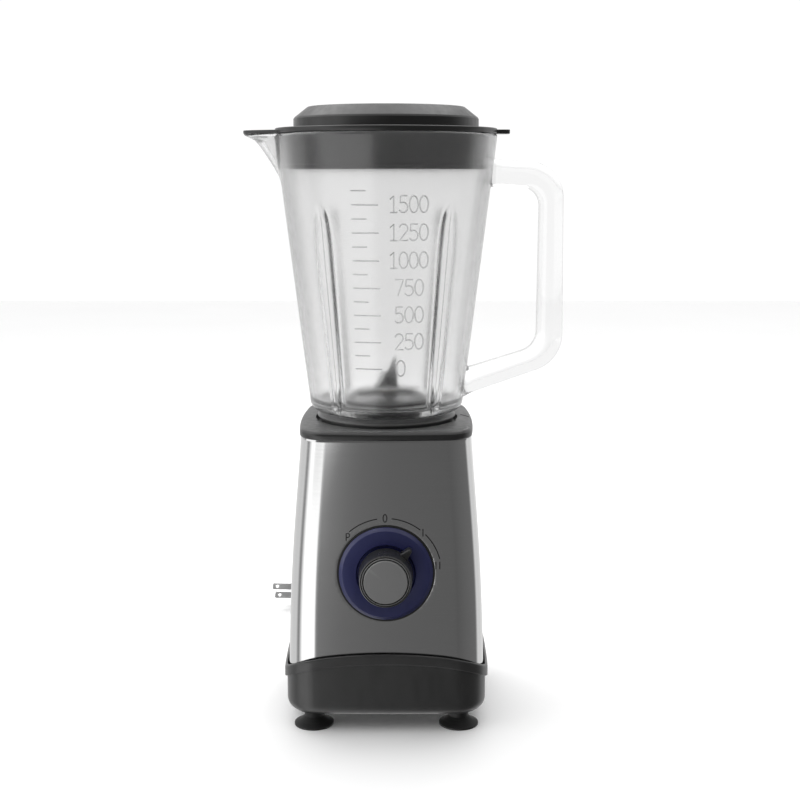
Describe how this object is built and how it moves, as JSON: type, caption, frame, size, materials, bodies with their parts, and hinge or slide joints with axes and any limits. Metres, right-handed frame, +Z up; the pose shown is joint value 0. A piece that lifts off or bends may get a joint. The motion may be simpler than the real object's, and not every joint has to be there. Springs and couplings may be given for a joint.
{
  "type": "countertop blender",
  "caption": "Jug blender with a brushed square motor base, a front dial, a clear tapered jug with handle and spout, a blade unit and a lift-off lid.",
  "frame": {"origin": "on the surface the feet stand on, below the jug's axis", "axes": "+Z up, -Y the front with the dial, +X the jug's handle, -X the spout"},
  "size_m": [0.2224, 0.317, 0.416],
  "materials": {
    "base_plastic": "fine satin black plastic",
    "deck_plastic": "satin black plastic",
    "lid_plastic": "fine matt black plastic",
    "knob_plastic": "satin black plastic",
    "knob_face": "dark spun disc",
    "bezel_blue": "dark blue satin plastic",
    "steel_sheet": "brushed",
    "clear_glass": "clear, slightly frosted",
    "black_rubber": "matt",
    "cord_rubber": "satin",
    "blade_steel": "ground stainless",
    "shaft_steel": "ground",
    "screw_steel": "zinc plated",
    "cast_bracket": "die cast",
    "laminations": "varnished steel stack",
    "copper_wire": "enamelled copper wire",
    "carbon": "pressed carbon",
    "brass": "pressed brass",
    "plated_brass": "nickel plated",
    "nylon": "natural nylon"
  },
  "bodies": {
    "base": {"lower_base": "base_plastic", "bottom_cover": "base_plastic", "cover_screws": "screw_steel", "steel_housing": "steel_sheet", "top_deck": "deck_plastic", "case_screws": "screw_steel", "upper_motor_bracket": "cast_bracket", "lower_motor_bracket": "cast_bracket", "upper_bearing": "shaft_steel", "lower_bearing": "shaft_steel", "mount_bushes": "black_rubber", "mount_screws": "screw_steel", "motor_bolts": "screw_steel", "stator_core": "laminations", "field_coils": "copper_wire", "carbon_brushes": "carbon", "brush_holders": "brass", "brush_springs": "shaft_steel", "dial_bezel": "bezel_blue", "rotary_switch": "nylon", "switch_nut": "screw_steel", "strain_relief": "cord_rubber", "cord_near": "cord_rubber", "cord_coil": "cord_rubber", "cord_far": "cord_rubber", "plug_body": "cord_rubber", "plug_prongs": "plated_brass", "suction_foot_rear_right": "black_rubber", "suction_foot_rear_left": "black_rubber", "suction_foot_front_left": "black_rubber", "suction_foot_front_right": "black_rubber"},
    "rotor": {"motor_shaft": "shaft_steel", "armature_core": "laminations", "armature_windings": "copper_wire", "commutator": "brass", "cooling_fan": "nylon", "drive_coupling": "black_rubber"},
    "knob": {"knob_grip": "knob_plastic", "knob_disc": "knob_face", "switch_shaft": "nylon"},
    "jug": {"jug_glass": "clear_glass", "jug_handle": "clear_glass", "jug_collar": "base_plastic", "blade_housing": "base_plastic", "jug_gasket": "black_rubber", "blade_bearing": "brass"},
    "blades": {"blade_shaft": "shaft_steel", "lower_blade": "blade_steel", "upper_blade": "blade_steel", "blade_nut": "shaft_steel", "driven_coupling": "black_rubber"},
    "lid": {"lid_shell": "lid_plastic", "lid_seal": "black_rubber"},
    "filler_cap": {"filler_cap": "lid_plastic"}
  },
  "joints": [
    {"name": "motor_spin", "type": "hinge", "parent": "base", "child": "rotor", "pos_m": [0, 0, 0.12], "axis": [0, 0, 1], "continuous": true},
    {"name": "knob_turn", "type": "hinge", "parent": "base", "child": "knob", "pos_m": [0, -0.0647, 0.1108], "axis": [0, 0.9983, -0.0576], "range_deg": [-88, 40]},
    {"name": "jug_lift", "type": "slide", "parent": "base", "child": "jug", "axis": [0, 0, 1], "range_m": [0, 0.08]},
    {"name": "blade_spin", "type": "hinge", "parent": "jug", "child": "blades", "pos_m": [0, 0, 0.22], "axis": [0, 0, 1], "continuous": true},
    {"name": "lid_lift", "type": "slide", "parent": "jug", "child": "lid", "axis": [0, 0, 1], "range_m": [0, 0.05]},
    {"name": "cap_lift", "type": "slide", "parent": "lid", "child": "filler_cap", "axis": [0, 0, 1], "range_m": [0, 0.04]}
  ],
  "couplings": [
    {"joint": "blade_spin", "follows": "motor_spin", "ratio": 1}
  ]
}
